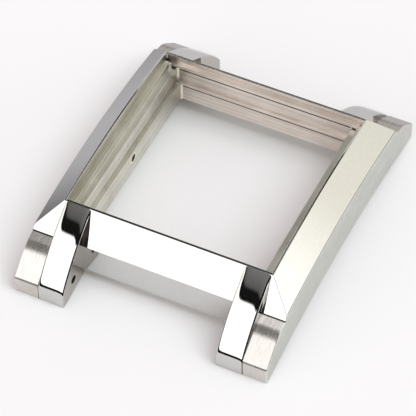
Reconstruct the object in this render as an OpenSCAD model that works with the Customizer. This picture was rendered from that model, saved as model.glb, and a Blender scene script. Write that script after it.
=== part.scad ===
// Empty wristwatch case: a middle, four polished inner lugs, and two flanks pinned to them.
// Frame: X across the case, Y from the twelve o'clock lugs to the six o'clock lugs, Z up.
// The origin is on the surface that the lug tips stand on, under the centre of the opening.

/* [Case] */
// Width over the two flanks
case_w = 33.1; // [31:0.1:38]
// Height of the opening's corners over the lug tips
rim_h = 9.45; // [9:0.05:11]
// Rise of the long sides' camber over the opening's corners
camber = 0.87; // [0.4:0.01:1.2]
// Rise of the arch under the case, between the lug tips
arch_rise = 1.9; // [1.4:0.1:2]
// Height of the middle's underside over the lug tips
base_h = 1.5; // [1.4:0.05:1.9]

/* [Opening] */
// Width of the opening between the flanks
opening_w = 26.8; // [25:0.1:28]
// Length of the opening over the outer edges of its end rims
opening_l = 27.2; // [26:0.1:28]
// Width of the flat on top of each end rim
rim_land = 0.33; // [0.2:0.01:0.5]
// Depth of the crystal seat below the opening's corners
crystal_depth = 0.95; // [0.7:0.05:1.2]
// Width of the crystal seat on the long walls
crystal_ledge = 0.65; // [0.4:0.05:0.8]
// Depth of the dial ledge below the crystal seat
dial_depth = 0.7; // [0.5:0.05:1]
// Width of the dial ledge on the long walls
dial_ledge = 0.9; // [0.6:0.05:1]
// Depth of the movement ledge below the dial ledge
movement_depth = 2.4; // [2:0.05:2.45]
// Width of the movement ledge on the long walls
movement_ledge = 0.45; // [0.3:0.05:0.6]
// Reach of the crystal rib on the end walls
crystal_rib = 0.42; // [0.2:0.02:0.6]
// Reach of the dial rib on the end walls
dial_rib = 0.3; // [0.2:0.05:0.5]
// Depth of the dial rib below the crystal seat
dial_rib_depth = 2.95; // [1.5:0.05:4]
// Height of each rib on the end walls
rib_h = 0.5; // [0.3:0.05:0.7]
// Radius that the cutter leaves in the corners of the opening
corner_r = 0.25; // [0.15:0.05:0.4]

/* [Back] */
// Depth of the recess that takes the case back
back_depth = 0.8; // [0.6:0.05:0.85]
// Width of the case back's recess
back_w = 24.8; // [24.4:0.1:25]
// Thickness of the end bars' lip around the case back
back_lip = 1; // [0.8:0.05:1.2]
// Spacing of the case back screws across the case
back_screw_x = 18; // [12:0.5:19]
// Distance of the case back screws from the lips at the ends of the recess
back_screw_in = 1; // [0.9:0.02:1.1]
// Diameter of each case back screw hole
back_screw_d = 1.2; // [1.15:0.05:1.3]
// Depth of each case back screw hole over the recess
back_screw_depth = 2.2; // [1.5:0.1:2.6]

/* [End bars] */
// Length over the outer faces of the two end bars
bars_l = 32.4; // [32:0.1:33.4]
// Height of the lower edge of each bar's polished facet
bar_facet_h = 5.55; // [5:0.05:6]

/* [Lugs] */
// How far each lug tip reaches past its end bar
lug_reach = 5.4; // [5:0.1:8]
// Width of the gap between the lugs, which is the strap's width
lug_gap = 20; // [18:0.5:21]
// Radius of the inner lugs' polished back
lug_back_r = 30; // [26:0.5:40]
// Height of the inner lug's back at its tip
lug_tip_h = 2.35; // [2:0.05:2.8]
// Length of the flat that each lug tip stands on
lug_foot = 0.4; // [0.3:0.05:0.8]
// Radius of the edge over each inner lug's tip
lug_tip_r = 0.5; // [0.15:0.05:0.7]
// Radius of the long edges of each inner lug's back
lug_edge_r = 0.3; // [0.1:0.05:0.5]
// Width of the edge break over each outer lug's tip
tip_break = 0.15; // [0.1:0.05:0.3]
// How far each outer lug's brushed back lies below the flank's facet
brushed_step = 0.18; // [0.1:0.01:0.3]
// Slope of the outer lug's shoulder
shoulder_slope = 12; // [6:1:18]
// Slope of the outer lug's straight run down to its tip
run_slope = 41; // [39:0.5:44]
// Radius that joins the outer lug's shoulder to its run
shoulder_r = 4; // [2:0.5:5]
// Diameter of each spring bar hole
spring_bar_d = 1.1; // [0.9:0.05:1.3]
// Depth of each spring bar hole
spring_bar_depth = 1.5; // [1:0.1:1.6]
// Distance of each spring bar hole from the lug's tip
spring_bar_back = 2.75; // [2.5:0.05:3]
// Height of each spring bar hole over the lug tips
spring_bar_h = 2.35; // [2.2:0.05:2.6]

/* [Flanks] */
// Drop from the bevel's top to its outer edge
bevel_drop = 2.8; // [2.4:0.05:3.2]
// Width of the narrow land along the bevel's top
bevel_land = 0.2; // [0.1:0.05:0.3]
// Width of the soft edge between the bevel and the flank's side
edge_break = 0.14; // [0.08:0.02:0.2]
// How far the lower edge of each end facet lies past the end bar
facet_reach = 0.3; // [0.1:0.05:0.5]
// Height of the lower edge of each end facet
facet_foot_h = 5.78; // [5.6:0.02:6]

/* [Pins] */
// Diameter of each dowel pin
pin_d = 1.2; // [0.8:0.1:1.3]
// Length of each dowel pin
pin_l = 3.4; // [3:0.1:3.7]
// Height of each root pin over the lug tips
root_pin_h = 5; // [4.5:0.1:5.2]
// Distance of each lug pin from the lug's tip
lug_pin_back = 4.4; // [4.2:0.1:4.6]
// Height of each lug pin over the lug tips
lug_pin_h = 3; // [2.6:0.1:3.2]

/* [Crown tube] */
// Height of the winding stem over the lug tips
stem_h = 4.35; // [3.7:0.05:4.4]
// Outer diameter of the crown tube's pressed part
tube_d = 1.8; // [1.6:0.05:1.9]
// Bore of the crown tube
tube_bore = 1; // [0.8:0.05:1.2]
// Diameter of the crown tube's nose in the crown's recess
tube_nose_d = 2.6; // [2.2:0.1:2.8]
// Diameter of the crown's recess in the flank
crown_recess_d = 3.2; // [3:0.1:3.2]
// Depth of the crown's recess in the flank
crown_recess_depth = 0.8; // [0.5:0.05:1]
// How far the tube's nose stays inside the flank's side
nose_inset = 0.15; // [0.1:0.05:0.3]

/* [Hidden] */
$fn = 96;

// Small overlap that keeps a cut clear of the face it starts from
over = 0.5;
// Far enough to pass the whole case
far = 60;

seam_x = opening_w / 2;
flank_x = case_w / 2;
rim_y = opening_l / 2;
wall_y = rim_y - rim_land;
bar_y = bars_l / 2;
tip_y = bar_y + lug_reach;
gap_x = lug_gap / 2;
lug_pin_y = tip_y - lug_pin_back;
// The root pins lie halfway through the end bars
root_pin_y = (wall_y + bar_y) / 2;
// The end of the case back's recess
back_y = bar_y - back_lip;

// Levels of the seats inside the opening
crystal_z = rim_h - crystal_depth;
dial_z = crystal_z - dial_depth;
movement_z = dial_z - movement_depth;
back_z = base_h + back_depth;
dial_rib_z = crystal_z - dial_rib_depth;

// The camber and the bevel turn about one line below the case, parallel to X
camber_r = (rim_y * rim_y + camber * camber) / (2 * camber);
camber_z = rim_h + camber - camber_r;
// The arch under the case meets the flat of the lug tips
arch_y = tip_y - lug_foot;
arch_r = (arch_y * arch_y + arch_rise * arch_rise) / (2 * arch_rise);

// Inner lug: an arc of lug_back_r from the rim to the tip
lug_chord = norm([tip_y - rim_y, rim_h - lug_tip_h]);
lug_chord_slope = atan2(rim_h - lug_tip_h, tip_y - rim_y);
lug_half_angle = asin(lug_chord / 2 / lug_back_r);
lug_back_y = rim_y - lug_back_r * sin(lug_chord_slope - lug_half_angle);
lug_back_z = rim_h - lug_back_r * cos(lug_chord_slope - lug_half_angle);
// Centre of the radius over the inner lug's tip, and the way from it to the back
tip_r_y = tip_y - lug_tip_r;
tip_r_z = lug_back_z + sqrt(pow(lug_back_r - lug_tip_r, 2) - pow(tip_r_y - lug_back_y, 2));
tip_r_way = [tip_r_y - lug_back_y, tip_r_z - lug_back_z] / (lug_back_r - lug_tip_r);

// Outer lug: a shoulder and a straight run, joined by an arc of shoulder_r
facet_y = bar_y + facet_reach;
shoulder_z = facet_foot_h - brushed_step;
run_tan = tan(run_slope);
shoulder_tan = tan(shoulder_slope);
bend_y = (shoulder_z + shoulder_tan * facet_y - lug_tip_h - run_tan * tip_y) / (shoulder_tan - run_tan);
bend_z = shoulder_z - shoulder_tan * (bend_y - facet_y);
bend_half = (run_slope - shoulder_slope) / 2;
bend_run = shoulder_r * tan(bend_half);
bend_centre_y = bend_y - bend_run * cos(shoulder_slope) - shoulder_r * sin(shoulder_slope);
bend_centre_z = bend_z + bend_run * sin(shoulder_slope) - shoulder_r * cos(shoulder_slope);

crown_floor_x = flank_x - crown_recess_depth;
movement_x = seam_x - crystal_ledge - dial_ledge - movement_ledge;

// Extrudes an outline drawn in (Y, Z) from x0 to x1
module along_x(x0, x1) {
    translate([x0, 0, 0]) rotate([90, 0, 90]) linear_extrude(x1 - x0) children();
}

// Repeats what is drawn at the rear end at the front end too
module both_ends() {
    children();
    mirror([0, 1, 0]) children();
}

// Repeats what is drawn on the right side on the left side too
module both_sides() {
    children();
    mirror([1, 0, 0]) children();
}

// Box centred on X and Y, from z0 to z1
module centred_box(size_x, size_y, z0, z1) {
    translate([-size_x / 2, -size_y / 2, z0]) cube([size_x, size_y, z1 - z0]);
}

// The space under the arch between the lug tips
module arch_space() {
    translate([-far, 0, arch_rise - arch_r]) rotate([0, 90, 0]) cylinder(r = arch_r, h = 2 * far, $fn = 720);
}

// Outline of one inner lug in (Y, Z), from the end bar's facet and outer face to its tip
module inner_lug_outline() {
    difference() {
        polygon([
            [rim_y, rim_h],
            [bar_y, bar_facet_h],
            [bar_y, 0],
            [tip_y, 0],
            [tip_y, rim_h]
        ]);
        translate([tip_r_y, tip_r_z]) difference() {
            polygon([[0, 0], 2 * lug_tip_r * tip_r_way, [2 * lug_tip_r, 0]]);
            circle(r = lug_tip_r);
        }
    }
}

// Disc whose rim is the back of one inner lug, with its long edges rounded
module inner_lug_disc() {
    translate([0, lug_back_y, lug_back_z]) rotate([0, 90, 0]) rotate_extrude($fn = 720) {
        translate([0, gap_x]) square([lug_back_r - lug_edge_r, seam_x - gap_x]);
        translate([0, gap_x + lug_edge_r]) square([lug_back_r, seam_x - gap_x - 2 * lug_edge_r]);
        for (x = [gap_x + lug_edge_r, seam_x - lug_edge_r])
            translate([lug_back_r - lug_edge_r, x]) circle(r = lug_edge_r);
    }
}

// Outline of one outer lug in (Y, Z), from inside the flank to its tip
module outer_lug_outline() {
    difference() {
        polygon([
            [rim_y - over, 0],
            [tip_y, 0],
            [tip_y, lug_tip_h - tip_break],
            [tip_y - tip_break, lug_tip_h + run_tan * tip_break],
            [bend_y, bend_z],
            [facet_y, shoulder_z],
            [rim_y - over, shoulder_z]
        ]);
        difference() {
            polygon([
                [bend_centre_y, bend_centre_z],
                [bend_centre_y + shoulder_r * 2 * sin(shoulder_slope), bend_centre_z + shoulder_r * 2 * cos(shoulder_slope)],
                [bend_centre_y + shoulder_r * 2 * sin(run_slope), bend_centre_z + shoulder_r * 2 * cos(run_slope)]
            ]);
            translate([bend_centre_y, bend_centre_z]) circle(r = shoulder_r, $fn = 180);
        }
    }
}

// Outline of one end bar in (Y, Z), with the ribs inside and the polished facet outside
module bar_outline() {
    polygon([
        [wall_y, base_h],
        [bar_y, base_h],
        [bar_y, bar_facet_h],
        [rim_y, rim_h],
        [wall_y, rim_h],
        [wall_y, crystal_z],
        [wall_y - crystal_rib, crystal_z],
        [wall_y - crystal_rib, crystal_z - rib_h],
        [wall_y, crystal_z - rib_h],
        [wall_y, dial_rib_z],
        [wall_y - dial_rib, dial_rib_z],
        [wall_y - dial_rib, dial_rib_z - rib_h],
        [wall_y, dial_rib_z - rib_h]
    ]);
}

// Outline of one long wall in (X, Z), with its three ledges
module long_wall_outline() {
    polygon([
        [seam_x, base_h],
        [seam_x, crystal_z],
        [seam_x - crystal_ledge, crystal_z],
        [seam_x - crystal_ledge, dial_z],
        [seam_x - crystal_ledge - dial_ledge, dial_z],
        [seam_x - crystal_ledge - dial_ledge, movement_z],
        [movement_x, movement_z],
        [movement_x, base_h]
    ]);
}

// One long wall of the middle, on the right
module long_wall() {
    rotate([90, 0, 0]) translate([0, 0, -rim_y]) linear_extrude(2 * rim_y) long_wall_outline();
}

// Hollow corner of corner_r between the right wall at x and the rear wall, from z0 to z1
module corner_fillet(x, z0, z1) {
    translate([x - corner_r, wall_y - corner_r, z0]) linear_extrude(z1 - z0) difference() {
        square(corner_r);
        circle(r = corner_r);
    }
}

// Cylinder along X from x0 to x1, at the place (y, z)
module rod(d, x0, x1, y, z) {
    translate([x0, y, z]) rotate([0, 90, 0]) cylinder(d = d, h = x1 - x0);
}

// Space of a dowel pin across the right seam, between a flank and the middle
module root_pin_space() {
    rod(pin_d, seam_x - pin_l / 2, seam_x + pin_l / 2, root_pin_y, root_pin_h);
}

// Space of a dowel pin across the right seam, between a flank and an inner lug
module lug_pin_space() {
    rod(pin_d, seam_x - pin_l / 2, seam_x + pin_l / 2, lug_pin_y, lug_pin_h);
}

// Recess and screw holes for the case back
module back_cuts() {
    centred_box(back_w, 2 * back_y, base_h - over, back_z);
    both_sides() both_ends()
        translate([back_screw_x / 2, back_y - back_screw_in, back_z - over])
            cylinder(d = back_screw_d, h = back_screw_depth + over);
}

module case_middle() {
    color("gainsboro") difference() {
        union() {
            both_sides() long_wall();
            both_ends() along_x(-seam_x, seam_x) bar_outline();
            both_sides() both_ends() {
                corner_fillet(movement_x, back_z, movement_z);
                corner_fillet(movement_x + movement_ledge, movement_z, dial_z);
                corner_fillet(seam_x - crystal_ledge, dial_z, crystal_z);
            }
        }
        back_cuts();
        both_sides() both_ends() root_pin_space();
        rod(tube_d, -seam_x - over, -movement_x + over, 0, stem_h);
    }
}

// One inner lug; side and end are 1 or -1
module inner_lug(side, end) {
    color("silver") mirror([side < 0 ? 1 : 0, 0, 0]) mirror([0, end < 0 ? 1 : 0, 0]) difference() {
        intersection() {
            along_x(gap_x, seam_x) inner_lug_outline();
            inner_lug_disc();
        }
        arch_space();
        lug_pin_space();
        rod(spring_bar_d, gap_x - over, gap_x + spring_bar_depth, tip_y - spring_bar_back, spring_bar_h);
    }
}

// The bevelled and cambered upper part of a flank, turned about the camber's axis
module cambered_cap() {
    translate([0, 0, camber_z]) rotate([0, 90, 0]) rotate_extrude($fn = 720) polygon([
        [camber_r - rim_h, seam_x],
        [camber_r - rim_h, flank_x],
        [camber_r - bevel_drop - edge_break, flank_x],
        [camber_r - bevel_drop + edge_break * bevel_drop / (flank_x - seam_x), flank_x - edge_break],
        [camber_r, seam_x + bevel_land],
        [camber_r, seam_x]
    ]);
}

// One flank, on the right, with its front and rear outer lugs
module flank_solid() {
    difference() {
        union() {
            intersection() {
                cambered_cap();
                along_x(seam_x, flank_x) polygon([
                    [-facet_y, 0],
                    [facet_y, 0],
                    [facet_y, facet_foot_h],
                    [rim_y, rim_h],
                    [rim_y, rim_h + 2 * camber],
                    [-rim_y, rim_h + 2 * camber],
                    [-rim_y, rim_h],
                    [-facet_y, facet_foot_h]
                ]);
            }
            both_ends() along_x(seam_x, flank_x) outer_lug_outline();
        }
        arch_space();
        both_ends() {
            root_pin_space();
            lug_pin_space();
        }
    }
}

module flank_right() {
    color("lightgray") flank_solid();
}

module flank_left() {
    color("lightgray") difference() {
        mirror([1, 0, 0]) flank_solid();
        rod(tube_d, -crown_floor_x - over, -seam_x + over, 0, stem_h);
        rod(crown_recess_d, -flank_x - over, -crown_floor_x, 0, stem_h);
    }
}

// Tube that the winding stem passes through, pressed in from the left
module crown_tube() {
    color("darkgray") difference() {
        union() {
            rod(tube_d, -crown_floor_x, -movement_x, 0, stem_h);
            rod(tube_nose_d, -flank_x + nose_inset, -crown_floor_x, 0, stem_h);
        }
        rod(tube_bore, -flank_x - over, -movement_x + over, 0, stem_h);
    }
}

// One dowel pin between a flank and the middle; side and end are 1 or -1
module root_pin(side, end) {
    color("darkgray") mirror([side < 0 ? 1 : 0, 0, 0]) mirror([0, end < 0 ? 1 : 0, 0]) root_pin_space();
}

// One dowel pin between a flank and an inner lug; side and end are 1 or -1
module lug_pin(side, end) {
    color("darkgray") mirror([side < 0 ? 1 : 0, 0, 0]) mirror([0, end < 0 ? 1 : 0, 0]) lug_pin_space();
}

case_middle();
flank_left();
flank_right();
crown_tube();
inner_lug(-1, -1);  // inner_lug_front_left
inner_lug(1, -1);  // inner_lug_front_right
inner_lug(-1, 1);  // inner_lug_rear_left
inner_lug(1, 1);  // inner_lug_rear_right
root_pin(-1, -1);  // root_pin_front_left
root_pin(1, -1);  // root_pin_front_right
root_pin(-1, 1);  // root_pin_rear_left
root_pin(1, 1);  // root_pin_rear_right
lug_pin(-1, -1);  // lug_pin_front_left
lug_pin(1, -1);  // lug_pin_front_right
lug_pin(-1, 1);  // lug_pin_rear_left
lug_pin(1, 1);  // lug_pin_rear_right
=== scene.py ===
"""Dresses an empty wristwatch case for rendering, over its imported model.

Sizes are in millimetres, in the model's own frame, until a mesh is made.
"""

import logging
import math
from dataclasses import dataclass
from enum import IntEnum

import bmesh
import bpy
import numpy as np
from mathutils import Matrix, Vector


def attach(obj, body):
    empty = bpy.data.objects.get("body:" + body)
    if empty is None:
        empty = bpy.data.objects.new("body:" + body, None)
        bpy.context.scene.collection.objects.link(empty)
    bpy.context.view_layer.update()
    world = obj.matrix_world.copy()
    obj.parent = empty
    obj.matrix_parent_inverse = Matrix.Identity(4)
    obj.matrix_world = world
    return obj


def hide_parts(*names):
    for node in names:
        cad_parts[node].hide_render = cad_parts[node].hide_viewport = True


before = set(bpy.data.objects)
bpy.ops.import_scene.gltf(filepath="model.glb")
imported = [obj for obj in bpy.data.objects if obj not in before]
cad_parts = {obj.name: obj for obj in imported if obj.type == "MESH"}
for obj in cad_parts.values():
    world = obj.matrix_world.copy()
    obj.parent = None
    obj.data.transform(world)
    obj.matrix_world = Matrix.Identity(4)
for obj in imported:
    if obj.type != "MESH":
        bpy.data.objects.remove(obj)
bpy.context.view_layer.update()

MM = 0.001  # one millimetre in metres
ROUNDING_STEPS = 4  # segments in each rounded corner
EDGE_SHARE = 0.45  # the most of an edge that one rounding takes up
REPEAT = 1e-6  # points nearer than this are one point
TINY = 1e-12  # keeps a division by a length finite
SEAM_GAP = 2e-7  # metres, between points that are joined
EMPTY_EDGE = 1e-7  # metres, an edge that is dropped
OVER = 1.0  # how far a hole's cutter reaches outside its piece
HOLE_SIDES = 48
SMOOTH_ANGLE = 32.0  # the sharpest edge that is shaded smooth, in degrees
FLAT_WEIGHT = 60  # how strongly large faces stay flat in shading
LOG = logging.getLogger("watch_case")

Socket = bpy.types.NodeSocket
Triple = tuple[float, float, float]
Object = bpy.types.Object
Finishes = int | np.ndarray
Stops = tuple[tuple[float, float], ...]  # positions from 0 to 1, each with its tone
Tints = tuple[tuple[float, Triple], ...]  # the same with colours
Materials = list[bpy.types.Material]  # one for each Finish, in order


class Finish(IntEnum):
    """The surface finishes of the case, some of them painted shade and painted highlights, in the
    order of each piece's material slots.
    """

    MIRROR = 0
    # brushed, with painted shade towards the rear
    BRUSHED_REAR_SHADED = 1
    SATIN = 2
    MILLED = 3
    # painted shade: dark walls in the holes, and a dark line along the outer lugs' tips
    BORE_AND_TIP_SHADE = 4
    # painted shade: dark strips under the ribs and along the inner lugs' seams, and dark sides of
    # the inner lugs
    PAINTED_SHADE = 5
    # painted shade along the mitre creases
    CREASE = 6
    # painted shade on the left bevel, darker towards its ends
    LEFT_BEVEL_SHADE = 7
    # painted highlight on the opening's corner fillets and the tube's inner end
    PAINTED_HIGHLIGHT = 8
    # pinkish end walls and ribs, with painted shade towards the left corners
    ROSY_LEFT_SHADED = 9
    # painted shadow along the foot of the end facets
    FOOT_SHADOW = 10
    SHADED = 11
    # painted highlight, pale and nearly matt, on the inner lugs' seam sides above the end bar
    PALE_HIGHLIGHT = 12


class End(IntEnum):
    """The two ends of the case along Y."""

    FRONT = -1
    REAR = 1


class Side(IntEnum):
    """The two sides of the case across X."""

    LEFT = -1
    RIGHT = 1


def rounded(corners: np.ndarray, reach: np.ndarray, steps: int = ROUNDING_STEPS) -> np.ndarray:
    """Rounds each corner of closed outlines.

    A corner V becomes the curve (1-t)^2 A + 2t(1-t) V + t^2 B, where A and B lie on its two
    edges, the reach away or just under half the edge, whichever is less.

    Args:
        corners: Outlines, shape (..., k, 2).
        reach: How far each corner's curve reaches along its edges, shape (k,).
        steps: Number of segments in each curve.

    Returns:
        The rounded outlines, shape (..., k * (steps + 1), 2).
    """
    back = np.roll(corners, 1, axis=-2) - corners
    on = np.roll(corners, -1, axis=-2) - corners
    back_len = np.linalg.norm(back, axis=-1, keepdims=True) + TINY
    on_len = np.linalg.norm(on, axis=-1, keepdims=True) + TINY
    a = corners + back / back_len * np.minimum(reach[:, None], EDGE_SHARE * back_len)
    b = corners + on / on_len * np.minimum(reach[:, None], EDGE_SHARE * on_len)
    t = np.linspace(0, 1, steps + 1)[:, None]
    a, b, v = a[..., None, :], b[..., None, :], corners[..., None, :]
    curve = (1 - t) ** 2 * a + 2 * t * (1 - t) * v + t**2 * b
    return curve.reshape(*corners.shape[:-2], -1, 2)


def rounded_path(points: np.ndarray, reach: np.ndarray, steps: int) -> np.ndarray:
    """Rounds the corners inside an open path, as rounded() does.

    Args:
        points: The path, shape (n, 2).
        reach: Each corner's reach, shape (n,). The ends stay sharp.
        steps: Number of segments in each curve.

    Returns:
        The rounded path, without repeated points.
    """
    curve = rounded(points, reach, steps).reshape(len(points), steps + 1, 2)
    curve[0], curve[-1] = points[0], points[-1]
    path = curve.reshape(-1, 2)
    apart = np.linalg.norm(np.diff(path, axis=0), axis=1) > REPEAT
    return path[np.append(True, apart)]


def divided(path: np.ndarray, longest: float) -> np.ndarray:
    """Divides the segments of an open path evenly.

    Args:
        path: Points, shape (n, 2).
        longest: The longest segment to leave.

    Returns:
        The path with points added.
    """
    step = np.diff(path, axis=0)
    count = np.maximum(np.ceil(np.linalg.norm(step, axis=1) / longest), 1).astype(int)
    index = np.repeat(np.arange(len(step)), count)
    first = np.repeat(np.cumsum(count) - count, count)
    share = (np.arange(count.sum()) - first) / count[index]
    return np.vstack([path[index] + share[:, None] * step[index], path[-1:]])


def outward(outline: np.ndarray) -> np.ndarray:
    """Unit normals of a closed outline, each square to the line between its two neighbours.

    Args:
        outline: Points, shape (n, 2).

    Returns:
        Normals that point out of the outline, shape (n, 2).
    """
    nxt = np.roll(outline, -1, axis=0)
    along = nxt - np.roll(outline, 1, axis=0)
    normal = np.stack([along[:, 1], -along[:, 0]], axis=1)
    area = np.sum(outline[:, 0] * nxt[:, 1] - nxt[:, 0] * outline[:, 1])
    return np.sign(area) * normal / (np.linalg.norm(normal, axis=1, keepdims=True) + TINY)


def stacked(x: np.ndarray, y: np.ndarray, z: np.ndarray) -> np.ndarray:
    """Points from their three coordinates, which are first spread over one common shape."""
    return np.stack(np.broadcast_arrays(x, y, z), axis=-1)


def stairs(across: list[float], up: list[float]) -> np.ndarray:
    """Corners of an outline in steps, which at each goes up first and then across."""
    return np.stack([np.repeat(across, 2), np.roll(np.repeat(up, 2), -1)], axis=1)


class Surface:
    """Collects grids and flat caps in millimetres, and makes one mesh object of them."""

    def __init__(self) -> None:
        """Starts with no points and no faces."""
        self.parts: list[tuple[np.ndarray, ...]] = []
        self.count = 0

    def grid(self, points: np.ndarray, finish: Finishes, closed: bool = True) -> None:
        """Adds a grid of points, with a quad in each cell.

        Args:
            points: Shape (m, n, 3).
            finish: Finish of the cells, one for all or spread over rows and cells.
            closed: True if each row's last point is joined to its first.
        """
        here = np.arange(points.shape[0] * points.shape[1]).reshape(points.shape[:2])
        on = np.roll(here, -1, axis=1)
        quads = np.stack([here[:-1], on[:-1], on[1:], here[1:]], axis=-1)
        quads = quads if closed else quads[:, :-1]
        finishes = np.broadcast_to(finish, quads.shape[:2]).ravel()
        self.add(points.reshape(-1, 3), quads.reshape(-1, 4), finishes)

    def cap(self, ring: np.ndarray, finish: Finish) -> None:
        """Adds one flat face inside a ring of points, shape (n, 3)."""
        self.add(ring, np.arange(len(ring))[None], np.array([finish]))

    def add(self, points: np.ndarray, faces: np.ndarray, finishes: np.ndarray) -> None:
        """Adds faces with the same number of corners.

        Args:
            points: Their points, shape (p, 3).
            faces: Each face's corners as numbers of points, shape (f, k).
            finishes: Each face's finish, shape (f,).
        """
        sizes = np.full(len(faces), faces.shape[1])
        self.parts.append((points, faces.ravel() + self.count, sizes, finishes))
        self.count += len(points)

    def make(self, name: str, materials: Materials) -> Object:
        """Makes the mesh object, with its seams joined and its faces turned outwards.

        Args:
            name: Its name.
            materials: The finishes' materials.

        Returns:
            The object, linked to the scene.
        """
        points, corners, sizes, finishes = map(np.concatenate, zip(*self.parts))
        mesh = bpy.data.meshes.new(name)
        mesh.vertices.add(len(points))
        mesh.vertices.foreach_set("co", points.ravel() * MM)
        mesh.loops.add(len(corners))
        mesh.loops.foreach_set("vertex_index", corners)
        mesh.polygons.add(len(sizes))
        mesh.polygons.foreach_set("loop_start", np.cumsum(sizes) - sizes)
        for material in materials:
            mesh.materials.append(material)
        mesh.polygons.foreach_set("material_index", finishes)
        mesh.update(calc_edges=True)
        mesh.validate()
        obj = bpy.data.objects.new(name, mesh)
        bpy.context.scene.collection.objects.link(obj)
        join_seams(mesh)
        return obj


def carried(
    name: str, points: np.ndarray, finish: Finishes, ends: Finish, materials: Materials
) -> Object:
    """Makes an object of a closed section that is carried along, with flat ends.

    Args:
        name: Its name.
        points: The section at each station, shape (m, n, 3).
        finish: Finish of the cells, as in Surface.grid().
        ends: Finish of both ends.
        materials: The finishes' materials.

    Returns:
        The object.
    """
    surface = Surface()
    surface.grid(points, finish)
    surface.cap(points[0], ends)
    surface.cap(points[-1], ends)
    return surface.make(name, materials)


def join_seams(mesh: bpy.types.Mesh) -> None:
    """Joins points that lie on each other, drops empty faces and turns all faces outwards.

    Args:
        mesh: The mesh.
    """
    bm = bmesh.new()
    bm.from_mesh(mesh)
    bmesh.ops.remove_doubles(bm, verts=bm.verts, dist=SEAM_GAP)
    bmesh.ops.dissolve_degenerate(bm, dist=EMPTY_EDGE, edges=bm.edges)
    bmesh.ops.recalc_face_normals(bm, faces=bm.faces)
    bm.to_mesh(mesh)
    bm.free()
    mesh.update()


def keep_modified(obj: Object) -> None:
    """Keeps what an object's modifiers make of its mesh as the mesh, without the modifiers.

    Args:
        obj: The object.
    """
    bpy.context.view_layer.update()
    graph = bpy.context.evaluated_depsgraph_get()
    mesh = bpy.data.meshes.new_from_object(obj.evaluated_get(graph), depsgraph=graph)
    obj.modifiers.clear()
    old, obj.data = obj.data, mesh
    bpy.data.meshes.remove(old)


def smooth(obj: Object) -> None:
    """Shades a piece smooth up to SMOOTH_ANGLE, with the large faces kept flat.

    The faces are weighed in millimetres, because in metres their areas are too small for it.

    Args:
        obj: The piece.
    """
    obj.data.polygons.foreach_set("use_smooth", np.ones(len(obj.data.polygons), bool))
    obj.data.set_sharp_from_angle(angle=math.radians(SMOOTH_ANGLE))
    obj.data.transform(Matrix.Scale(1 / MM, 4))
    keep = obj.modifiers.new("flat_faces", "WEIGHTED_NORMAL")
    keep.keep_sharp = True
    keep.weight = FLAT_WEIGHT
    keep_modified(obj)
    obj.data.transform(Matrix.Scale(MM, 4))


def bored(obj: Object, holes: list["Hole"], materials: Materials) -> None:
    """Cuts round holes into a piece, and keeps the result as its mesh.

    Args:
        obj: The piece.
        holes: The holes.
        materials: The finishes' materials.
    """
    cutters = [hole.cutter(materials) for hole in holes]
    for cutter in cutters:
        cut = obj.modifiers.new("hole", "BOOLEAN")
        cut.operation, cut.solver, cut.object = "DIFFERENCE", "EXACT", cutter
    keep_modified(obj)
    for cutter in cutters:
        bpy.data.meshes.remove(cutter.data)


@dataclass(frozen=True)
class Hole:
    """A round hole along an axis of the frame."""

    start: Triple  # its open end, outside the piece
    end: Triple
    diameter: float

    def cutter(self, materials: Materials) -> Object:
        """Makes a cylinder the size of the hole, by a circle carried from start to end.

        Args:
            materials: The finishes' materials.

        Returns:
            The cylinder.
        """
        start, end = np.array(self.start), np.array(self.end)
        axis = (end - start) / np.linalg.norm(end - start)
        u = np.roll(axis, 1)
        v = np.cross(axis, u)
        turn = np.linspace(0, 2 * math.pi, HOLE_SIDES, endpoint=False)[:, None]
        ring = self.diameter / 2 * (np.cos(turn) * u + np.sin(turn) * v)
        rows = np.stack([start + ring, end + ring])
        # the cylinder's faces become the hole's walls, in painted shade
        return carried("hole_cutter", rows, Finish.BORE_AND_TIP_SHADE, Finish.BORE_AND_TIP_SHADE, materials)


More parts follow.
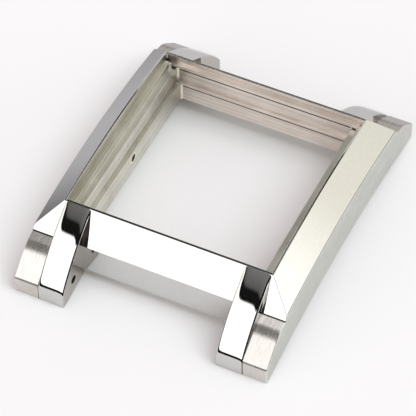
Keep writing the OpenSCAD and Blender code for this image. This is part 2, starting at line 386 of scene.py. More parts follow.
class NodeBench:
    """Makes the nodes of one material or world and links them."""

    def __init__(self, tree: bpy.types.NodeTree) -> None:
        """Empties the node tree and keeps it."""
        self.tree = tree
        tree.nodes.clear()

    def add(self, kind: str, links: dict | None = None, **settings: object) -> bpy.types.Node:
        """Adds a node.

        Args:
            kind: The node's type.
            links: Socket name or number to a value or to another node's output.
            **settings: Properties to set on the node.

        Returns:
            The node.
        """
        node = self.tree.nodes.new(kind)
        for name, value in settings.items():
            setattr(node, name, value)
        for key, value in (links or {}).items():
            if isinstance(value, bpy.types.NodeSocket):
                self.tree.links.new(value, node.inputs[key])
            else:
                node.inputs[key].default_value = value
        return node

    def math(self, operation: str, *values: object) -> Socket:
        """The output of a Math node on one to three values or outputs."""
        node = self.add("ShaderNodeMath", dict(enumerate(values)), operation=operation)
        return node.outputs[0]

    def mix(self, blend: str, first: Socket, second: Socket) -> Socket:
        """The colour output of a Mix node that blends two colours in full."""
        sockets = {0: 1.0, 6: first, 7: second}
        return self.add("ShaderNodeMix", sockets, data_type="RGBA", blend_type=blend).outputs[2]

    def ramp(self, factor: Socket, stops: Tints) -> Socket:
        """Makes a colour ramp.

        Args:
            factor: Where on the ramp to look.
            stops: Position and colour of each stop, in order.

        Returns:
            The colour there.
        """
        node = self.add("ShaderNodeValToRGB", {0: factor})
        elements = node.color_ramp.elements
        while len(elements) < len(stops):
            elements.new(0.5)
        for element, (position, colour) in zip(elements, stops):
            element.position, element.color = position, (*colour, 1)
        return node.outputs[0]

    def stretched(self, scale: Triple) -> Socket:
        """Object coordinates times a scale for each axis, per metre."""
        sockets = {0: self.add("ShaderNodeTexCoord").outputs["Object"], 1: scale}
        return self.add("ShaderNodeVectorMath", sockets, operation="MULTIPLY").outputs[0]

    def noise(self, scale: Triple, detail: float = 2.0) -> Socket:
        """Noise over stretched object coordinates, from 0 to 1."""
        sockets = {"Vector": self.stretched(scale), "Scale": 1.0, "Detail": detail}
        return self.add("ShaderNodeTexNoise", sockets).outputs[0]


def grey(stops: Stops) -> Tints:
    """The stops of a ramp from black to white, from (position, tone) pairs."""
    return tuple((position, (tone,) * 3) for position, tone in stops)


@dataclass(frozen=True)
class Steel:
    """One finish of the case's stainless steel."""

    name: str
    colour: Triple
    dark: Triple  # of its darker streaks
    roughness: tuple[float, float]  # lowest and highest
    grain: Triple  # streaks per metre along X, Y and Z
    depth: float  # strength of the grain's relief
    patch: float = 400.0  # broad patches per metre
    fade: Stops = ()  # painted shade: share of the colour that is left at places 0 to 1
    fade_axis: int = 1  # the axis of those places
    metal: float = 1.0
    fade_span: float = 0.034  # metres from 0 to 1, about the origin
    grain_share: float = 0.65  # of the streaks, the rest comes from the patches
    # where in the streaks both reflectances lie
    streak_stops: tuple[float, float] = (0.3, 0.62)
    relief: float = 0.00002  # in metres
    edge_tint: tuple[float, ...] = (0.7, 0.7, 0.7, 1.0)  # where it is seen edge on

    def faded(self, bench: NodeBench, colour: Socket) -> Socket:
        """Paints shade on a colour by fading it along the fade's axis.

        Args:
            bench: The material's bench.
            colour: The colour.

        Returns:
            What is left of it at each place.
        """
        places = bench.stretched((1 / self.fade_span,) * 3)
        place = bench.add("ShaderNodeSeparateXYZ", {0: places}).outputs[self.fade_axis]
        left = bench.ramp(bench.math("ADD", place, 0.5), grey(self.fade))
        return bench.mix("MULTIPLY", colour, left)

    def build(self) -> bpy.types.Material:
        """Makes the material: a metal whose colour, roughness and relief follow its grain, with any
        painted shade from its fade.

        Returns:
            The material.
        """
        material = bpy.data.materials.new(self.name)
        material.use_nodes = True
        bench = NodeBench(material.node_tree)
        grain = bench.noise(self.grain, detail=3.0)
        fine = bench.math("MULTIPLY", grain, self.grain_share)
        broad = bench.math("MULTIPLY", bench.noise((self.patch,) * 3), 1 - self.grain_share)
        streak = bench.math("ADD", fine, broad)
        colour = bench.ramp(streak, tuple(zip(self.streak_stops, (self.dark, self.colour))))
        if self.fade:
            colour = self.faded(bench, colour)
        low, high = self.roughness
        rough = bench.math("MULTIPLY_ADD", streak, high - low, low)
        bump = {"Height": grain, "Strength": self.depth, "Distance": self.relief}
        relief = bench.add("ShaderNodeBump", bump)
        sockets = {"Base Color": colour, "Roughness": rough, "Metallic": self.metal}
        sockets |= {"Specular Tint": self.edge_tint, "Normal": relief.outputs[0]}
        shader = bench.add("ShaderNodeBsdfPrincipled", sockets)
        bench.add("ShaderNodeOutputMaterial", {0: shader.outputs[0]})
        return material


# Streaks per metre along X, Y and Z.
EVEN = (2500, 2500, 2500)
FINE = (4000, 4000, 4000)
FILLET = (4000, 4000, 2500)
CUTTER = (40, 40, 3600)
LINE = (9000, 900, 900)
BRUSH = (9000, 500, 1400)
SATIN = (3000, 260, 5200)

# Painted shade: what the fades leave of the colour at places along the case.
REAR_SHADE_FADE = ((0.5, 1.0), (0.95, 0.76))
# painted shade on the left bevel, darkest near the front end
BEVEL_SHADE_FADE = (
    *((0.04, 0.3), (0.1, 0.45), (0.2, 0.72), (0.32, 0.95)),
    *((0.5, 1.0), (0.72, 0.9), (0.95, 0.66)),
)
# painted shade on the end walls near the opening's left corners
LEFT_CORNER_SHADE = ((0.12, 0.38), (0.145, 0.5), (0.165, 0.96), (0.2, 1.0))

# One steel for each Finish, in the same order.
STEELS = (
    Steel("mirror_steel", (0.66, 0.65, 0.635), (0.63, 0.62, 0.605), (0.02, 0.045), EVEN, 0.01),
    # brushed, with painted shade that darkens it towards the rear
    Steel("brushed_rear_shaded_steel", (0.72, 0.68, 0.655), (0.56, 0.53, 0.5), (0.2, 0.32), BRUSH, 0.2,
          fade=REAR_SHADE_FADE),
    Steel("satin_steel", (0.8, 0.8, 0.755), (0.72, 0.72, 0.675), (0.2, 0.32), SATIN, 0.12),
    Steel("milled_steel", (0.88, 0.86, 0.785), (0.57, 0.55, 0.485), (0.28, 0.42), CUTTER, 0.3,
          patch=260.0),
    # painted shade for the holes' walls and the line along the outer lugs' tips
    Steel("bore_and_tip_shade_steel", (0.3, 0.29, 0.27), (0.16, 0.155, 0.145), (0.3, 0.5), FINE, 0.2),
    # painted shade, dark brown, for the strips under the ribs, the inner lugs' seams and their dark
    # sides
    Steel("painted_shade_steel", (0.22, 0.15, 0.12), (0.05, 0.03, 0.025), (0.25, 0.45), LINE, 0.2),
    # painted shade, pinkish dark, for the mitre creases
    Steel("crease_shade_steel", (0.42, 0.36, 0.39), (0.3, 0.25, 0.28), (0.3, 0.4), EVEN, 0.05),
    # painted shade for the left bevel
    Steel("left_bevel_shade_steel", (0.5, 0.497, 0.5), (0.47, 0.467, 0.47), (0.03, 0.08), EVEN, 0.01,
          fade=BEVEL_SHADE_FADE),
    # painted highlight, cream, for the corner fillets and the tube's inner end
    Steel("painted_highlight_steel", (0.97, 0.95, 0.84), (0.85, 0.82, 0.7), (0.3, 0.45), FILLET, 0.2),
    # pinkish, with painted shade towards the left corners of the opening
    Steel("rosy_left_shaded_steel", (0.84, 0.77, 0.71), (0.56, 0.49, 0.44), (0.28, 0.42), CUTTER, 0.3,
          patch=260.0, fade=LEFT_CORNER_SHADE, fade_axis=0),
    # painted shadow, near black, for the end facets' foot
    Steel("foot_shadow_steel", (0.04, 0.032, 0.028), (0.02, 0.015, 0.012), (0.4, 0.5), LINE, 0.1),
    Steel("shaded_steel", (0.61, 0.575, 0.535), (0.57, 0.535, 0.495), (0.03, 0.08), EVEN, 0.01),
    # painted highlight, pale and nearly matt
    Steel("pale_highlight_steel", (0.82, 0.77, 0.7), (0.66, 0.62, 0.56), (0.4, 0.5), FILLET, 0.1,
          metal=0.1),
)


@dataclass(frozen=True)
class CaseSizes:
    """The sizes that the pieces share: places from the case's middle, heights and rises."""

    half_width: float = 16.55
    tip_y: float = 21.6  # the lug tips
    rim_h: float = 9.45  # the opening's corners
    camber: float = 0.87  # rise of the flanks' camber over them
    arch_rise: float = 1.9  # of the arch under the case
    base_h: float = 1.5  # the middle's underside
    seam_x: float = 13.4  # seam between a flank and the middle
    rim_y: float = 13.6  # outer edge of an end rim
    wall_y: float = 13.27  # an end wall of the opening
    bar_y: float = 16.2  # outer face of an end bar
    bar_facet_h: float = 5.55  # lower edge of its facet
    gap_x: float = 10.0  # half the gap between the lugs
    lug_tip_h: float = 2.35  # the lugs' backs at their tips
    lug_foot: float = 0.4  # flat under a lug tip, along Y
    back_z: float = 2.3  # the case back's seat
    stem_h: float = 4.35  # the stem's axis
    tube_d: float = 1.8
    movement_x: float = 11.4  # inner face of a long wall
    crystal_z: float = 8.5  # the crystal's seat

    @property
    def camber_r(self) -> float:
        """Radius of the camber, from its rise over the opening's corners."""
        return (self.rim_y**2 + self.camber**2) / (2 * self.camber)

    @property
    def camber_z(self) -> float:
        """Height of the camber's axis."""
        return self.rim_h + self.camber - self.camber_r

    @property
    def arch_r(self) -> float:
        """Radius of the arch under the case, which meets the flat of the lug tips."""
        return ((self.tip_y - self.lug_foot) ** 2 + self.arch_rise**2) / (2 * self.arch_rise)

    def arch(self, y: np.ndarray) -> np.ndarray:
        """Height of the arch at stations along the case."""
        return np.maximum(self.arch_rise - self.arch_r + np.sqrt(self.arch_r**2 - y**2), 0.0)


@dataclass
class Piece:
    """A piece of the case that stands for CAD nodes."""

    sizes: CaseSizes
    materials: Materials

    def place(self, obj: Object, node: str, slot: str) -> None:
        """Shades the piece, lets it stand for its CAD node and makes it ride on the case.

        Args:
            obj: The piece.
            node: The CAD node that it replaces.
            slot: The record's material slot; not used.
        """
        smooth(obj)
        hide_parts(node)
        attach(obj, "root")
        LOG.info("%s: %d faces, stands for %s", obj.name, len(obj.data.polygons), node)


@dataclass
class Flank(Piece):
    """One long side of the case with its bevel, end facets and two brushed outer lugs."""

    side: Side = Side.RIGHT
    bevel_drop: float = 2.81  # from the bevel's top to its outer edge
    bevel_land: float = 0.2  # flat along the bevel's top
    facet_y: float = 16.5  # lower edge of each end facet
    facet_foot_h: float = 5.78  # its height
    step: float = 0.18  # from the facet down to the brushed back
    step_run: float = 0.02  # its reach along the case
    shoulder_slope: float = 12.0  # of the outer lug's shoulder, in degrees
    run_slope: float = 41.0  # of its straight run, in degrees
    # rounding at each turn of the spine
    spine_reach: tuple[float, ...] = (0, 0.04, 0.05, 0.02, 1.03, 0.16, 0)
    past_tip: float = 0.5  # how far the last turn lies under the tip
    tip_rounding: float = 0.14  # of all edges near the tips
    crest_stations: int = 30  # along half the camber
    crest_gap: float = 0.06  # from the camber's end to the corner
    cell: float = 0.4  # the longest along the facet and the lug
    edge_margins: tuple[float, float] = (0.03, 0.3)  # least widths of the bevel
    # rounding at each corner of the section
    section_reach: tuple[float, ...] = (0.035, 0.05, 0.2, 0.1, 0.04)
    foot_line: tuple[float, float] = (0.05, 0.03)  # painted shadow line, before and after the facet's foot
    tip_line: tuple[float, float] = (0.16, 0.13)  # painted shade line, along the tip and down it
    recess_d: float = 3.2  # round the stem tube's nose
    recess_depth: float = 0.8
    recess_lap: float = 0.2  # reach of the hole's cutter into it

    def bend(self) -> tuple[float, float]:
        """Finds where the shoulder's line meets the run's line.

        Returns:
            The place in (Y, Z).
        """
        s = self.sizes
        top = self.facet_foot_h - self.step
        shoulder = math.tan(math.radians(self.shoulder_slope))
        run = math.tan(math.radians(self.run_slope))
        y = (top + shoulder * self.facet_y - s.lug_tip_h - run * s.tip_y) / (shoulder - run)
        return y, top - shoulder * (y - self.facet_y)

    def spine(self) -> np.ndarray:
        """The flank's top line, from its middle to the rear tip.

        It is the camber's circle up to the opening's corner, then the facet, the small step,
        the shoulder, the rounded bend and the run down to the tip.

        Returns:
            Points in (Y, Z), shape (n, 2).
        """
        s = self.sizes
        y = np.linspace(0, s.rim_y - self.crest_gap, self.crest_stations)
        crest = np.stack([y, s.camber_z + np.sqrt(s.camber_r**2 - y**2)], axis=1)
        turns = [
            crest[-1],
            (s.rim_y, s.rim_h),
            (self.facet_y, self.facet_foot_h),
            (self.facet_y + self.step_run, self.facet_foot_h - self.step),
            self.bend(),
            (s.tip_y, s.lug_tip_h),
            (s.tip_y, s.lug_tip_h - self.past_tip),
        ]
        down = rounded_path(np.array(turns), np.array(self.spine_reach), 2 * ROUNDING_STEPS)[:-1]
        return np.vstack([crest[:-1], divided(down, self.cell)])

    def bevel_height(self, x: np.ndarray | float, y: np.ndarray) -> np.ndarray:
        """Height of the bevel: a cone about the camber's axis, flat across its narrow land.

        Args:
            x: Distances from the case's middle plane.
            y: Stations along the case.

        Returns:
            The height at each.
        """
        s = self.sizes
        land = s.seam_x + self.bevel_land
        run = np.clip((x - land) / (s.half_width - land), 0, 1)
        return s.camber_z + np.sqrt((s.camber_r - self.bevel_drop * run) ** 2 - y**2)

    def sections(self, y: np.ndarray, top: np.ndarray) -> np.ndarray:
        """The flank's five-cornered section in (X, Z) at each station.

        The top runs from the seam to the crease, where the spine meets the bevel, then down the
        bevel. Near the tips all edges draw in by a quarter circle.

        Args:
            y: Stations along the case, shape (m,).
            top: The spine's height at each station, shape (m,).

        Returns:
            Corners, shape (m, 5, 2).
        """
        s = self.sizes
        land = s.seam_x + self.bevel_land
        reach = np.sqrt((top - s.camber_z) ** 2 + y**2)
        crease = land + (s.camber_r - reach) / self.bevel_drop * (s.half_width - land)
        margin = np.where(np.abs(y) < self.facet_y, *self.edge_margins)
        crease = np.clip(crease, land, s.half_width - margin)
        inner = np.minimum(top, self.bevel_height(land, y))
        middle = np.minimum(top, self.bevel_height(crease, y))
        outer = np.minimum(top, self.bevel_height(s.half_width, y))
        past = np.clip((np.abs(y) - s.tip_y + self.tip_rounding) / self.tip_rounding, 0, 1)
        inset = self.tip_rounding * (1 - np.sqrt(1 - past**2))
        seam, out, low = s.seam_x + 0.5 * inset, s.half_width - inset, s.arch(y) + inset
        corners = [(seam, inner), (crease, middle), (out, outer), (out, low), (seam, low)]
        return np.stack([np.stack(c, axis=-1) for c in corners], axis=1)

    def finishes(self, spine: np.ndarray) -> np.ndarray:
        """The finish of each cell between the stations of the spine.

        Args:
            spine: The whole spine in (Y, Z), shape (m, 2).

        Returns:
            Finish numbers, shape (m - 1, cells round the section).
        """
        s = self.sizes
        y, z = np.abs(spine[:-1] + spine[1:]).T / 2
        per = ROUNDING_STEPS + 1  # cells at one corner and along the side after it
        edge = 2 * per + per // 2  # cells from the seam to halfway round the outer edge
        finish = np.full((len(y), len(self.section_reach) * per), Finish.SATIN)
        on_lug = y > self.facet_y
        finish[:, :edge] = np.where(on_lug, Finish.BRUSHED_REAR_SHADED, Finish.MIRROR)[:, None]
        foot = (y > self.facet_y - self.foot_line[0]) & (y < self.facet_y + self.foot_line[1])
        # painted shadow along the facet's foot
        finish[foot, :edge] = Finish.FOOT_SHADOW
        # painted shade: a dark line along the outer lug's tip
        over_tip = (y > s.tip_y - self.tip_line[0]) & (z > s.lug_tip_h - self.tip_line[1])
        finish[over_tip, :edge] = Finish.BORE_AND_TIP_SHADE
        # painted shade on the crease's rounding beside the end facets
        finish[(y > s.rim_y) & ~on_lug, per : 2 * per - 1] = Finish.CREASE
        # painted shade on the left flank's bevel
        if self.side is Side.LEFT:
            finish[~on_lug, 2 * per - 1 : edge] = Finish.LEFT_BEVEL_SHADE
        finish[:, 4 * per :] = Finish.MILLED
        return finish

    def build(self) -> None:
        """Makes the flank by carrying its section along the spine, and bores the left one."""
        s = self.sizes
        half = self.spine()
        spine = np.vstack([half[:0:-1] * (-1, 1), half])
        y, top = spine.T
        ring = rounded(self.sections(y, top), np.array(self.section_reach))
        points = stacked(self.side * ring[..., 0], y[:, None], ring[..., 1])
        name, finish = f"flank_{self.side.name.lower()}", self.finishes(spine)
        obj = carried(f"{name}_dressed", points, finish, Finish.BRUSHED_REAR_SHADED, self.materials)
        if self.side is Side.LEFT:
            floor = s.half_width - self.recess_depth
            places = [-s.half_width - OVER, -floor, -floor - self.recess_lap, -s.seam_x + OVER]
            a, b, c, d = [(x, 0, s.stem_h) for x in places]
            holes = [Hole(a, b, self.recess_d), Hole(c, d, s.tube_d)]
            bored(obj, holes, self.materials)
        self.place(obj, name, "satin_steel")


@dataclass
class InnerLug(Piece):
    """One polished inner lug, with soft buffed edges and the spring bar's hole."""

    side: Side = Side.RIGHT
    end: End = End.REAR
    back_r: float = 30.0  # of its polished back
    buffed: float = 0.19  # reach of the buffing from each side
    tilt: float = 0.75  # of the buffing
    edge_break: float = 0.015  # how much more the very edge draws in
    root_buff: tuple[float, float] = (0.45, 0.12)  # its share at the root, and until where
    tip_arms: tuple[float, float] = (1.3, 0.35)  # the tip's curve, back and down
    foot_edge: tuple[float, float] = (0.1, 0.03)  # rounding under the tip
    counts: tuple[int, int, int] = (44, 14, 14)  # points of the back, the tip and the arch
    from_side: tuple[float, ...] = (  # stations from each side
        *(0, 0.012, 0.03, 0.055, 0.085, 0.12, 0.16, 0.21),
        *(0.27, 0.34, 0.43, 0.54, 0.68, 0.86, 1.1, 1.38),
    )
    end_face: tuple[float, float] = (0.12, 0.1)  # where the painted shade line on the tip, along the seam, begins
    seam_cells: int = 4  # its width
    hole_back: float = 2.75  # from the tip to the spring bar's hole
    hole_h: float = 2.35
    hole_d: float = 1.1
    hole_depth: float = 1.5

    def outline(self) -> tuple[np.ndarray, np.ndarray]:
        """The lug's outline in (Y, Z), and how strongly each of its points is buffed.

        The back is an arc of back_r from the rim's edge; then come the tip's curve
        (1-t)^2 A + 2t(1-t) V + t^2 B, the foot, the arch, and the faces on the end bar.

        Returns:
            Points, shape (n, 2), and shares from 0 to 1, shape (n,).
        """
        s = self.sizes
        start, end = np.array([s.rim_y, s.rim_h]), np.array([s.tip_y, s.lug_tip_h])
        chord = end - start
        half = math.asin(np.linalg.norm(chord) / 2 / self.back_r)
        slope = math.atan2(-chord[1], chord[0]) - half
        centre = start - self.back_r * np.array([math.sin(slope), math.cos(slope)])
        last = slope + 2 * half - self.tip_arms[0] / self.back_r
        turn = np.linspace(slope, last, self.counts[0])
        back = centre + self.back_r * np.stack([np.sin(turn), np.cos(turn)], axis=1)
        a = back[-1]
        v = np.array([s.tip_y, a[1] - (s.tip_y - a[0]) * math.tan(turn[-1])])
        b = v - (0, self.tip_arms[1])
        t = np.linspace(0, 1, self.counts[1] + 1)[1:, None]
        tip = (1 - t) ** 2 * a + 2 * t * (1 - t) * v + t**2 * b
        reach, depth = self.foot_edge
        foot = np.array([(s.tip_y, reach), (s.tip_y - depth, depth), (s.tip_y - reach, 0)])
        under_y = np.linspace(s.tip_y - s.lug_foot, s.bar_y, self.counts[2])
        under = np.stack([under_y, s.arch(under_y)], axis=1)
        curve = np.vstack([back, tip, foot, under, [(s.bar_y, s.bar_facet_h)]])
        least, whole_at = self.root_buff
        along = np.linspace(0, 1, len(back))
        on_back = least + (1 - least) * np.minimum(along / whole_at, 1)
        rest = np.zeros(len(curve) - len(back) - len(tip))
        return curve, np.concatenate([on_back, 1 - t[:, 0] ** 4, rest])

    def build(self) -> None:
        """Makes the lug by carrying its outline across X.

        Towards each side the outline draws in by tilt * buffed * exp(-d / buffed), where d is
        the distance from that side, and at the very side by a little more.
        """
        s = self.sizes
        outline, share = self.outline()
        normal = outward(outline)
        normal[0] = normal[1]
        from_side = np.array(self.from_side)
        x = np.concatenate([s.gap_x + from_side, s.seam_x - from_side[::-1]])[:, None]
        d = np.minimum(x - s.gap_x, s.seam_x - x)
        inset = self.tilt * self.buffed * np.exp(-d / self.buffed) * share
        inset = inset + np.where(d < REPEAT, self.edge_break, 0.0)
        ring = outline - normal * inset[..., None]
        side, end = self.side, self.end
        points = stacked(side * x, end * ring[..., 0], ring[..., 1])
        finish = np.full((len(x) - 1, len(outline)), Finish.MIRROR)
        inwards, down = self.end_face
        on_end = (outline[:, 0] > s.tip_y - inwards) & (outline[:, 1] < s.lug_tip_h - down)
        # painted shade: a dark line on the tip's end face along the seam
        finish[-self.seam_cells :, on_end & np.roll(on_end, -1)] = Finish.PAINTED_SHADE
        surface = Surface()
        surface.grid(points, finish)
        above = (outline[:, 1] > s.bar_facet_h - REPEAT) & (outline[:, 0] < s.bar_y + REPEAT)
        below = ~above
        below[[np.argmin(above) - 1, -1]] = True
        # painted shade: the gap side's face is dark above the end bar and shaded below it
        sides = ((0, Finish.PAINTED_SHADE, Finish.SHADED), (-1, Finish.PALE_HIGHLIGHT, Finish.MIRROR))
        # painted highlight: the seam side's face above the end bar is pale
        for row, corner, rest in sides:
            surface.cap(points[row][above], corner)
            surface.cap(points[row][below], rest)
        name = f"inner_lug_{end.name.lower()}_{side.name.lower()}"
        obj = surface.make(f"{name}_dressed", self.materials)
        places = (s.gap_x - OVER, s.gap_x + self.hole_depth)
        ends = [(side * x, end * (s.tip_y - self.hole_back), self.hole_h) for x in places]
        bored(obj, [Hole(*ends, self.hole_d)], self.materials)
        self.place(obj, name, "polished_steel")


@dataclass
class Middle(Piece):
    """The middle of the case: two long walls with their seats and two polished end bars."""

    crystal_ledge: float = 0.65  # width of the crystal's seat
    dial_z: float = 7.8  # the dial's ledge
    dial_ledge: float = 0.9
    movement_z: float = 5.4  # the movement's ledge
    crystal_rib: float = 0.42  # reach of the crystal's rib on the end walls
    dial_rib: float = 0.3
    dial_rib_z: float = 5.55  # its upper face
    rib_h: float = 0.5  # of both ribs
    # rounding at each corner of a long wall
    wall_reach: tuple[float, ...] = (0.02, 0.02, 0.14, 0.05, 0.14, 0.05, 0.1, 0.05, 0.05, 0.05)
    shade_strip_h: float = 0.14  # painted shadow strip that shows under each rib
    sight_slope: float = 1.27  # wall that a rib hides, for each mm of its reach
    corner_r: float = 0.25  # of the fillets in the opening's corners
    fillet_points: int = 7
    lap: float = 0.02  # reach of the fillets into the walls
    rim_gap: float = 0.08  # from the rim to the highest fillets
    back_x: float = 12.4  # half of the case back's recess
    back_y: float = 15.2
    cut_run: float = 0.01  # half the run of its side walls
    screw_x: float = 9.0  # place of the case back's screws
    screw_y: float = 14.2
    screw_d: float = 1.2
    screw_depth: float = 2.2  # from the case back's seat

    def rib(self, reach: float, top: float, rounding: tuple[float, float]) -> list[tuple]:
        """The rows of bar_corners() for one rib and the painted shadow strip under it, upwards.

        Args:
            reach: How far the rib stands out of the wall.
            top: Height of its upper face.
            rounding: Rounding of its lower and its upper edge.

        Returns:
            Five rows.
        """
        wall, low, rosy = self.sizes.wall_y, top - self.rib_h, Finish.ROSY_LEFT_SHADED
        strip = low - (reach * self.sight_slope + self.shade_strip_h)
        return [
            # the strip of painted shadow under the rib
            (wall, strip, 0.0, Finish.PAINTED_SHADE),
            (wall, low, 0.01, rosy),
            (wall - reach, low, rounding[0], rosy),
            (wall - reach, top, rounding[1], rosy),
            (wall, top, 0.03, rosy),
        ]

    def bar_corners(self, end: End) -> tuple[np.ndarray, np.ndarray, np.ndarray]:
        """The end bar's section.

        Args:
            end: The bar's end of the case.

        Returns:
            Corners in (Y, Z), the reach of their rounding and each side's finish.
        """
        s = self.sizes
        # the rear rim takes the brushed steel and its painted shade at the rear
        rim = Finish.MIRROR if end is End.FRONT else Finish.BRUSHED_REAR_SHADED
        rows = [
            (s.wall_y, s.rim_h, 0.05, rim),
            (s.rim_y, s.rim_h, 0.05, Finish.MIRROR),
            (s.bar_y, s.bar_facet_h, 0.03, Finish.MIRROR),
            (s.bar_y, s.base_h, 0.06, Finish.SATIN),
            (self.back_y, s.base_h, 0.03, Finish.MILLED),
            (self.back_y, s.back_z, 0.03, Finish.MILLED),
            (s.wall_y, s.back_z, 0.05, Finish.ROSY_LEFT_SHADED),
            *self.rib(self.dial_rib, self.dial_rib_z, (0.04, 0.1)),
            *self.rib(self.crystal_rib, s.crystal_z, (0.05, 0.12)),
        ]
        y, z, reach, finish = zip(*rows)
        return np.stack([y, z], axis=1), np.array(reach), np.array(finish)

    def build_bar(self, end: End) -> None:
        """Makes one end bar by carrying its section across X, with the case back's recess.

        Args:
            end: The bar's end of the case.
        """
        s = self.sizes
        corners, reach, side_finish = self.bar_corners(end)
        full = corners.copy()
        full[5:7, 1] = s.base_h  # beside the recess, the bar reaches down to the underside
        cut = self.back_x + np.array([-self.cut_run, self.cut_run])
        x = np.array([-s.seam_x, *-cut[::-1], 0, *cut, s.seam_x])
        section = np.where((np.abs(x) < self.back_x)[:, None, None], corners, full)
        ring = rounded(section, reach)
        points = stacked(x[:, None], end * ring[..., 0], ring[..., 1])
        finish = np.repeat(side_finish, ROUNDING_STEPS + 1)
        name = f"end_bar_{end.name.lower()}"
        obj = carried(name, points, finish, Finish.MILLED, self.materials)
        y, top = end * self.screw_y, s.back_z + self.screw_depth
        places = [(side * self.screw_x, y) for side in Side]
        holes = [Hole((*at, s.base_h - OVER), (*at, top), self.screw_d) for at in places]
        bored(obj, holes, self.materials)
        self.place(obj, "case_middle", "polished_steel")

    def build_wall(self, side: Side) -> None:
        """Makes one long wall by carrying its stepped section along Y.

        Args:
            side: The wall's side of the case.
        """
        s = self.sizes
        crystal_x = s.seam_x - self.crystal_ledge
        dial_x = crystal_x - self.dial_ledge
        x = [s.seam_x, crystal_x, dial_x, s.movement_x, self.back_x]
        z = [s.base_h, s.crystal_z, self.dial_z, self.movement_z, s.back_z]
        ring = rounded(stairs(x, z), np.array(self.wall_reach))
        y = np.array([-s.wall_y - self.cut_run, 0, s.wall_y + self.cut_run])
        points = stacked(side * ring[:, 0], y[:, None], ring[:, 1])
        name = f"long_wall_{side.name.lower()}"
        obj = carried(name, points, Finish.MILLED, Finish.MILLED, self.materials)
        if side is Side.LEFT:
            ends = [(x, 0, s.stem_h) for x in (-s.movement_x + OVER, -s.seam_x - OVER)]
            bored(obj, [Hole(*ends, s.tube_d)], self.materials)
        self.place(obj, "case_middle", "polished_steel")

    def build_corner(self, side: Side, end: End) -> None:
        """Makes the hollow fillets of one corner of the opening, one on each seat.

        Args:
            side: The corner's side of the case.
            end: Its end of the case.
        """
        s = self.sizes
        crystal_x = s.seam_x - self.crystal_ledge
        levels = [
            (s.movement_x, s.wall_y, s.back_z, self.movement_z),
            (crystal_x - self.dial_ledge, s.wall_y, self.movement_z, self.dial_z),
            (crystal_x, s.wall_y - self.crystal_rib, self.dial_z, s.crystal_z),
            (s.seam_x, s.wall_y, s.crystal_z, s.rim_h - self.rim_gap),
        ]
        turn = np.linspace(0, math.pi / 2, self.fillet_points)
        surface = Surface()
        for wall_x, wall_y, low, high in levels:
            x = np.append(wall_x - self.corner_r * (1 - np.cos(turn)), wall_x + self.lap)
            y = np.append(wall_y - self.corner_r * (1 - np.sin(turn)), wall_y + self.lap)
            rows = stacked(side * x, end * y, np.array([[low], [high]]))
            # painted highlight on the fillets and their tops
            surface.grid(rows, Finish.PAINTED_HIGHLIGHT)
            surface.cap(rows[0], Finish.MILLED)
            surface.cap(rows[1], Finish.PAINTED_HIGHLIGHT)
        name = f"opening_corner_{end.name.lower()}_{side.name.lower()}"
        self.place(surface.make(name, self.materials), "case_middle", "polished_steel")

    def build(self) -> None:
        """Makes both end bars, both long walls and the four corners."""
        for end in End:
            self.build_bar(end)
        for side in Side:
            self.build_wall(side)
            for end in End:
                self.build_corner(side, end)


@dataclass
class CrownTube(Piece):
    """The turned tube that the winding stem passes through."""

    bore_d: float = 1.0
    nose_d: float = 2.6
    nose_x: float = 16.4  # the nose's end
    shoulder_x: float = 15.75
    edge_reach: float = 0.05  # of its roundings
    turn_points: int = 73  # with the first one twice

    def build(self) -> None:
        """Makes the tube by turning its section about the stem's axis."""
        s = self.sizes
        radii = [self.bore_d / 2, s.tube_d / 2, self.nose_d / 2]
        section = stairs([s.movement_x, self.shoulder_x, self.nose_x], radii)
        x, radius = rounded(section, np.full(len(section), self.edge_reach)).T
        turn = np.linspace(0, 2 * math.pi, self.turn_points)[:, None]
        points = stacked(-x, radius * np.cos(turn), s.stem_h + radius * np.sin(turn))
        finish = np.full(len(x), Finish.SATIN)
        # painted highlight on the tube's inner end
        finish[: ROUNDING_STEPS + 2] = Finish.PAINTED_HIGHLIGHT
        surface = Surface()
        surface.grid(points, finish[None])
        self.place(surface.make("crown_tube_dressed", self.materials), "crown_tube", "turned_steel")


def dress_pins(material: bpy.types.Material) -> None:
    """Gives the hidden dowel pins, which stay as they are, their steel.

    Args:
        material: The steel.
    """
    for name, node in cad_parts.items():
        if "_pin_" in name:
            if not node.material_slots:
                node.data.materials.append(material)
            node.material_slots[0].material = material
            LOG.info("%s: keeps its own mesh", name)


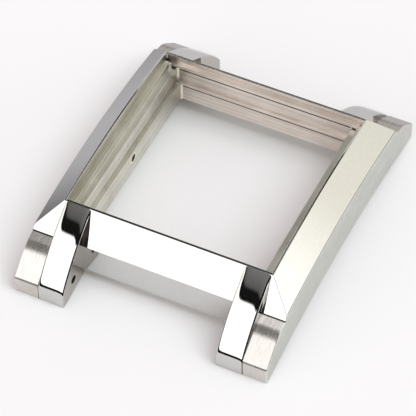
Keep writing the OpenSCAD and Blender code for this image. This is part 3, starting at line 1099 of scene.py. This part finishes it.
@dataclass(frozen=True)
class Studio:
    """The floor, the soft light around the case and the camera."""

    floor_half: float = 1500.0  # half its width in mm
    floor_z: float = -0.01  # in mm
    floor_tints: Tints = ((0.3, (0.93, 0.925, 0.93)), (0.7, (0.945, 0.94, 0.945)))
    floor_patch: float = 25  # patches per metre
    ring_strength: float = 2.0  # of what the steel mirrors
    # its tones, from 0 level to 1 overhead
    bands: Stops = (
        *((0.0, 0.01), (0.2, 0.01), (0.22, 1.0), (0.718, 1.0), (0.73, 0.004)),
        *((0.786, 0.006), (0.802, 0.07), (0.872, 0.13), (1.0, 0.1)),
    )
    # its tints, from 0 at the rear left to 1 at side_way
    sides: Tints = (
        (0.0, (0.4, 0.39, 0.38)),
        (0.33, (0.56, 0.555, 0.49)),
        (0.42, (0.61, 0.6, 0.54)),
        (0.5, (0.82, 0.81, 0.77)),
        (0.75, (1.0, 1.0, 1.0)),
    )
    side_way: Triple = (0.5, -0.866, 0.0)  # of the lightest side
    rear_drop: float = 0.1  # how much lower the bands hang at the rear
    gap_way: Triple = (0.574, -0.819, 0.0)  # of the dark gap
    gap_stops: Stops = ((0.91, 1.0), (0.94, 0.02))  # at cosines from gap_way
    panel_way: Triple = (0.05, 0.2, 0.98)  # of the white panel
    panel_stops: Stops = ((0.938, 0.0), (0.95, 0.85))  # at cosines from panel_way
    dome: tuple[float, float] = (0.08, 0.7)  # light at the level, and its gain overhead
    dome_tints: Tints = ((0.1, (1.0, 0.84, 0.885)), (0.9, (0.97, 0.94, 0.915)))  # left to right
    key_strength: float = 1.29
    key_spread: float = 40.0  # in degrees
    key_colour: Triple = (0.89, 0.985, 1.0)
    key_way: Triple = (0.62, -0.05, 1.0)
    lens: float = 245.24  # in mm, on a sensor 36 mm wide
    place: Triple = (0.098574, -0.205332, 0.260771)  # the camera's, in metres
    right: Triple = (0.90198698, 0.43172571, -0.00569178)  # the picture's way to the right
    down: Triple = (0.32144786, -0.68027228, -0.65871155)  # its way down
    forward: Triple = (-0.28825467, 0.59231963, -0.75237404)  # the way it looks

    def build_floor(self) -> None:
        """Makes the pale floor as a grid of two by two points."""
        across = np.array([-1, 1]) * self.floor_half
        surface = Surface()
        surface.grid(stacked(across, across[:, None], self.floor_z), 0, closed=False)
        material = bpy.data.materials.new("pale_floor")
        material.use_nodes = True
        bench = NodeBench(material.node_tree)
        patches = bench.noise((self.floor_patch,) * 3)
        tint = bench.ramp(patches, self.floor_tints)
        sockets = {"Base Color": tint, "Roughness": 0.9, "Specular IOR Level": 0.1}
        shader = bench.add("ShaderNodeBsdfPrincipled", sockets)
        bench.add("ShaderNodeOutputMaterial", {0: shader.outputs[0]})
        floor = surface.make("floor", [material])
        if floor.data.polygons[0].normal.z < 0:
            floor.data.flip_normals()

    def facing(self, bench: NodeBench, way: Socket, target: Triple) -> Socket:
        """How far a direction turns towards a target direction, as a cosine."""
        ways = {0: way, 1: Vector(target).normalized()}
        return bench.add("ShaderNodeVectorMath", ways, operation="DOT_PRODUCT").outputs["Value"]

    def mirrored(self, bench: NodeBench, way: Socket) -> Socket:
        """What the steel mirrors: white sides, a dark ring, a grey ceiling, a panel and a gap.

        Args:
            bench: The world's bench.
            way: The direction that it mirrors.

        Returns:
            The colour there.
        """
        x, y, z = bench.add("ShaderNodeSeparateXYZ", {0: way}).outputs
        rearward = bench.math("MAXIMUM", y, 0.0)
        height = bench.math("MULTIPLY_ADD", rearward, self.rear_drop, z)
        flat = bench.add("ShaderNodeCombineXYZ", {0: x, 1: y}).outputs[0]
        level = bench.add("ShaderNodeVectorMath", {0: flat}, operation="NORMALIZE").outputs[0]
        side = self.facing(bench, level, self.side_way)
        around = bench.ramp(bench.math("MULTIPLY_ADD", side, 0.5, 0.5), self.sides)
        gap = bench.ramp(self.facing(bench, level, self.gap_way), grey(self.gap_stops))
        panel = bench.ramp(self.facing(bench, way, self.panel_way), grey(self.panel_stops))
        lit = bench.mix("MULTIPLY", bench.ramp(height, grey(self.bands)), around)
        return bench.mix("ADD", bench.mix("MULTIPLY", lit, gap), panel)

    def lighting(self, bench: NodeBench, way: Socket) -> Socket:
        """What lights the surfaces: a soft dome that is brighter overhead.

        Args:
            bench: The world's bench.
            way: The light's direction.

        Returns:
            The colour there.
        """
        x, _, z = bench.add("ShaderNodeSeparateXYZ", {0: way}).outputs
        level, gain = self.dome
        dome = bench.math("MULTIPLY_ADD", bench.math("MAXIMUM", z, 0.0), gain, level)
        tint = bench.ramp(bench.math("MULTIPLY_ADD", x, 0.5, 0.5), self.dome_tints)
        return bench.mix("MULTIPLY", dome, tint)

    def build_light(self) -> None:
        """Makes the world, which mirrors and lights apart, and the key light at the right."""
        scene = bpy.context.scene
        scene.world = bpy.data.worlds.new("studio")
        scene.world.use_nodes = True
        bench = NodeBench(scene.world.node_tree)
        way = bench.add("ShaderNodeTexCoord").outputs["Generated"]
        seen = {0: self.mirrored(bench, way), 1: self.ring_strength}
        soft = {0: self.lighting(bench, way), 1: 1.0}
        seen, soft = [bench.add("ShaderNodeBackground", s).outputs[0] for s in (seen, soft)]
        diffuse = bench.add("ShaderNodeLightPath").outputs["Is Diffuse Ray"]
        both = bench.add("ShaderNodeMixShader", {0: diffuse, 1: seen, 2: soft})
        bench.add("ShaderNodeOutputWorld", {0: both.outputs[0]})
        lamp = bpy.data.lights.new("key_light", "SUN")
        lamp.energy, lamp.color = self.key_strength, self.key_colour
        lamp.angle = math.radians(self.key_spread)
        key = bpy.data.objects.new("key_light", lamp)
        scene.collection.objects.link(key)
        key.rotation_euler = Vector(self.key_way).to_track_quat("Z", "Y").to_euler()
        key.visible_glossy = False

    def build_camera(self) -> None:
        """Places the camera by its three fitted axes."""
        data = bpy.data.cameras.new("camera")
        data.lens, data.sensor_width, data.sensor_fit = self.lens, 36.0, "HORIZONTAL"
        data.clip_start, data.clip_end = 0.01, 10.0
        camera = bpy.data.objects.new("camera", data)
        bpy.context.scene.collection.objects.link(camera)
        matrix = np.eye(4)
        columns = (self.right, np.negative(self.down), np.negative(self.forward), self.place)
        matrix[:3] = np.stack(columns, axis=1)
        camera.matrix_world = Matrix(matrix.tolist())
        bpy.context.scene.camera = camera

    def build(self) -> None:
        """Makes the floor, the light and the camera."""
        self.build_floor()
        self.build_light()
        self.build_camera()
        bpy.context.scene.view_settings.view_transform = "Standard"
        LOG.info("studio: floor, light and camera")


def main() -> None:
    """Builds the case's pieces in order, then the studio."""
    logging.basicConfig(level=logging.INFO, format="%(name)s: %(message)s")
    sizes = CaseSizes()
    steels = [steel.build() for steel in STEELS]
    Middle(sizes, steels).build()
    for side in Side:
        Flank(sizes, steels, side=side).build()
        for end in End:
            InnerLug(sizes, steels, side=side, end=end).build()
    CrownTube(sizes, steels).build()
    dress_pins(steels[Finish.SATIN])
    Studio().build()


if __name__ == "__main__":
    main()
